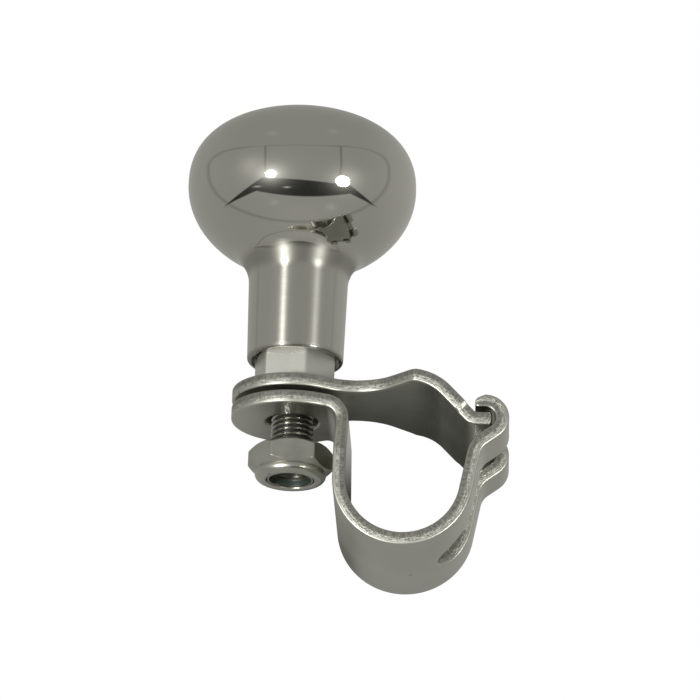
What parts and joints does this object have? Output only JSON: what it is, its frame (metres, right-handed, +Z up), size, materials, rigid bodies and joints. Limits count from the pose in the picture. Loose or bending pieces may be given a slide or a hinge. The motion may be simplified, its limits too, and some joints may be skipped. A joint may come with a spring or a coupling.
{
  "type": "steering wheel spinner knob",
  "caption": "Polished steel ball knob that spins on a bearing spindle, with two hooked strap brackets and a lock nut that clamp it to a steering wheel rim.",
  "frame": {"origin": "centre of the steering wheel's rim in the lower bracket's loop, half way along the strap's width", "axes": "+Z up along the stud towards the ball, +X from the stud to the hooked ends, Y along the rim"},
  "size_m": [0.0784, 0.0546, 0.1126],
  "materials": {
    "knob_chrome": "mirror-polished steel",
    "spindle_steel": "turned and drawn bar, bright",
    "bearing_steel": "ground and pressed bearing parts",
    "bracket_steel": "tumbled satin strap with sheared edges",
    "nut_steel": "cold-formed nut, satin",
    "insert_plastic": "dull moulded insert"
  },
  "bodies": {
    "mounting": {"upper_bracket": "bracket_steel", "spindle": "spindle_steel", "lower_inner_ring": "bearing_steel", "upper_inner_ring": "bearing_steel", "inner_spacer": "bearing_steel", "shaft_washer": "bearing_steel", "shaft_ring": "bearing_steel"},
    "knob": {"knob_shell": "knob_chrome", "lower_outer_ring": "bearing_steel", "lower_shield": "bearing_steel", "upper_outer_ring": "bearing_steel", "upper_shield": "bearing_steel", "outer_spacer": "bearing_steel", "bore_ring": "bearing_steel"},
    "ball_sets": {"lower_balls": "bearing_steel", "lower_cage": "bearing_steel", "upper_balls": "bearing_steel", "upper_cage": "bearing_steel"},
    "lower_jaw": {"lower_bracket": "bracket_steel"},
    "insert_carrier": {"nut_insert": "insert_plastic"},
    "nut": {"lock_nut": "nut_steel"}
  },
  "joints": [
    {"name": "knob_spin", "type": "hinge", "parent": "mounting", "child": "knob", "pos_m": [-0.0269, 0, 0.0792], "axis": [0, 0, 1], "continuous": true},
    {"name": "ball_set_spin", "type": "hinge", "parent": "mounting", "child": "ball_sets", "pos_m": [-0.0269, 0, 0.048], "axis": [0, 0, 1], "continuous": true},
    {"name": "jaw_swing", "type": "hinge", "parent": "mounting", "child": "lower_jaw", "pos_m": [0.01852, 0, 0.01524], "axis": [0, 1, 0], "range_deg": [-3, 1.1]},
    {"name": "nut_travel", "type": "slide", "parent": "mounting", "child": "insert_carrier", "axis": [0, 0, 1], "range_m": [0, 0.0031]},
    {"name": "nut_turn", "type": "hinge", "parent": "insert_carrier", "child": "nut", "pos_m": [-0.0269, 0, 0.0089], "axis": [0, 0, 1], "range_deg": [0, 864]}
  ],
  "couplings": [
    {"joint": "ball_set_spin", "follows": "knob_spin", "ratio": 0.61111},
    {"joint": "nut_travel", "follows": "nut_turn", "m_per_rad": 0.00019894}
  ]
}
